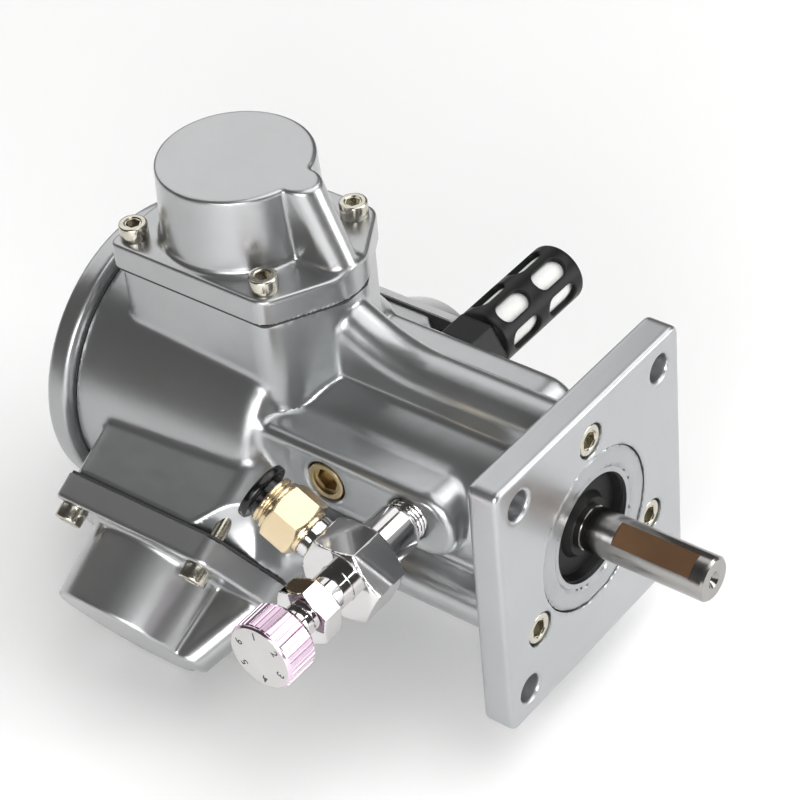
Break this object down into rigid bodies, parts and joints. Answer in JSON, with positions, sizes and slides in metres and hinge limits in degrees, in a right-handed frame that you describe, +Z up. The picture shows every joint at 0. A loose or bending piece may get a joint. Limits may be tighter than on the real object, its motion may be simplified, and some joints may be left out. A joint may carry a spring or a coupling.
{
  "type": "piston air motor",
  "caption": "Square-flanged radial piston air motor with pistons at equal angles, a rotary valve, a needle flow valve with push-in fitting, a silencer and a flatted output shaft.",
  "frame": {"origin": "centre of the mounting flange's front face, on the shaft's axis", "axes": "+X along the output shaft to its free end, +Z up through the first cylinder, -Y toward the flow valve"},
  "size_m": [0.2106, 0.1864, 0.1507],
  "materials": {
    "cast_alloy": "satin",
    "head_alloy": "satin",
    "flange_alloy": "satin",
    "machined_alloy": "machined",
    "nickel_steel": "bright nickel",
    "ground_steel": "ground",
    "black_rubber": "satin",
    "gasket": "matte",
    "plug_metal": "nickel-washed",
    "black_plastic": "gloss",
    "white_felt": "porous",
    "chrome": "polished",
    "knob_chrome": "satin face, bright ridges",
    "pale_brass": "nickel-washed",
    "bronze": "machined",
    "ring_iron": "ground"
  },
  "bodies": {
    "motor": {"housing": "cast_alloy", "mounting_flange": "flange_alloy", "flange_screws": "nickel_steel", "rear_cover": "cast_alloy", "rear_gasket": "gasket", "rear_screws": "nickel_steel", "cylinder_liner_1": "ground_steel", "cylinder_liner_2": "ground_steel", "cylinder_liner_3": "ground_steel", "cylinder_head_1": "head_alloy", "cylinder_head_2": "head_alloy", "cylinder_head_3": "head_alloy", "head_gasket_1": "gasket", "head_gasket_2": "gasket", "head_gasket_3": "gasket", "head_screws_1": "nickel_steel", "head_screws_2": "nickel_steel", "head_screws_3": "nickel_steel", "shaft_seal": "black_rubber", "seal_ring": "machined_alloy", "exhaust_plug": "plug_metal", "inlet_plug": "plug_metal", "silencer_cage": "black_plastic", "silencer_liner": "white_felt", "valve_body": "chrome", "valve_bonnet": "chrome", "tube_fitting": "pale_brass", "front_bearing_outer": "ground_steel", "main_bearing_outer": "ground_steel", "rear_bearing_outer": "ground_steel", "valve_sleeve": "bronze"},
    "crank": {"crankshaft": "ground_steel", "rear_crank_web": "ground_steel", "valve_key": "ground_steel", "rotary_valve": "bronze", "front_bearing_inner": "ground_steel", "main_bearing_inner": "ground_steel", "rear_bearing_inner": "ground_steel"},
    "orbit_ring": {"orbit_ring": "ground_steel", "orbit_bush": "bronze"},
    "gallery_ball": {"gallery_ball": "ground_steel"},
    "piston_1": {"piston_1": "machined_alloy", "piston_rings_1": "ring_iron"},
    "piston_2": {"piston_2": "machined_alloy", "piston_rings_2": "ring_iron"},
    "piston_3": {"piston_3": "machined_alloy", "piston_rings_3": "ring_iron"},
    "front_balls": {"front_bearing_balls": "ground_steel"},
    "main_balls": {"main_bearing_balls": "ground_steel"},
    "rear_balls": {"rear_bearing_balls": "ground_steel"},
    "needle": {"valve_needle": "ground_steel"},
    "knob": {"valve_knob": "knob_chrome"},
    "release_ring": {"release_ring": "black_plastic"}
  },
  "joints": [
    {"name": "shaft_spin", "type": "hinge", "parent": "motor", "child": "crank", "pos_m": [-0.122, 0, 0], "axis": [1, 0, 0], "continuous": true},
    {"name": "ring_orbit", "type": "hinge", "parent": "crank", "child": "orbit_ring", "pos_m": [-0.122, 0, 0.009], "axis": [1, 0, 0], "continuous": true},
    {"name": "ball_turn", "type": "hinge", "parent": "crank", "child": "gallery_ball", "pos_m": [-0.156, 0, 0.0045], "axis": [1, 0, 0], "continuous": true},
    {"name": "piston_1_travel", "type": "hinge", "parent": "gallery_ball", "child": "piston_1", "pos_m": [-0.122, 0, 0.009], "axis": [1, 0, 0], "continuous": true},
    {"name": "piston_2_travel", "type": "hinge", "parent": "gallery_ball", "child": "piston_2", "pos_m": [-0.122, 0.0039, 0.00225], "axis": [1, 0, 0], "continuous": true},
    {"name": "piston_3_travel", "type": "hinge", "parent": "gallery_ball", "child": "piston_3", "pos_m": [-0.122, -0.0039, 0.00225], "axis": [1, 0, 0], "continuous": true},
    {"name": "front_balls_roll", "type": "hinge", "parent": "motor", "child": "front_balls", "pos_m": [-0.015, 0, 0], "axis": [1, 0, 0], "continuous": true},
    {"name": "main_balls_roll", "type": "hinge", "parent": "motor", "child": "main_balls", "pos_m": [-0.097, 0, 0], "axis": [1, 0, 0], "continuous": true},
    {"name": "rear_balls_roll", "type": "hinge", "parent": "motor", "child": "rear_balls", "pos_m": [-0.1525, 0, 0], "axis": [1, 0, 0], "continuous": true},
    {"name": "needle_slide", "type": "slide", "parent": "motor", "child": "needle", "axis": [0, -1, 0], "range_m": [-0.003, 0.0015]},
    {"name": "knob_turn", "type": "hinge", "parent": "needle", "child": "knob", "pos_m": [-0.0425, -0.0925, 0.0084], "axis": [0, -1, 0], "range_deg": [-1440, 720]},
    {"name": "release_press", "type": "slide", "parent": "motor", "child": "release_ring", "axis": [0.8988, 0, -0.4384], "range_m": [0, 0.0015], "stiffness_N_per_m": 1200, "springref_m": -0.002}
  ],
  "couplings": [
    {"joint": "ring_orbit", "follows": "shaft_spin", "ratio": -1},
    {"joint": "ball_turn", "follows": "shaft_spin", "ratio": -2},
    {"joint": "piston_1_travel", "follows": "shaft_spin", "ratio": 1},
    {"joint": "piston_2_travel", "follows": "shaft_spin", "ratio": 1},
    {"joint": "piston_3_travel", "follows": "shaft_spin", "ratio": 1},
    {"joint": "front_balls_roll", "follows": "shaft_spin", "ratio": 0.39615},
    {"joint": "main_balls_roll", "follows": "shaft_spin", "ratio": 0.3791},
    {"joint": "rear_balls_roll", "follows": "shaft_spin", "ratio": 0.38},
    {"joint": "needle_slide", "follows": "knob_turn", "m_per_rad": 0.00011937}
  ]
}
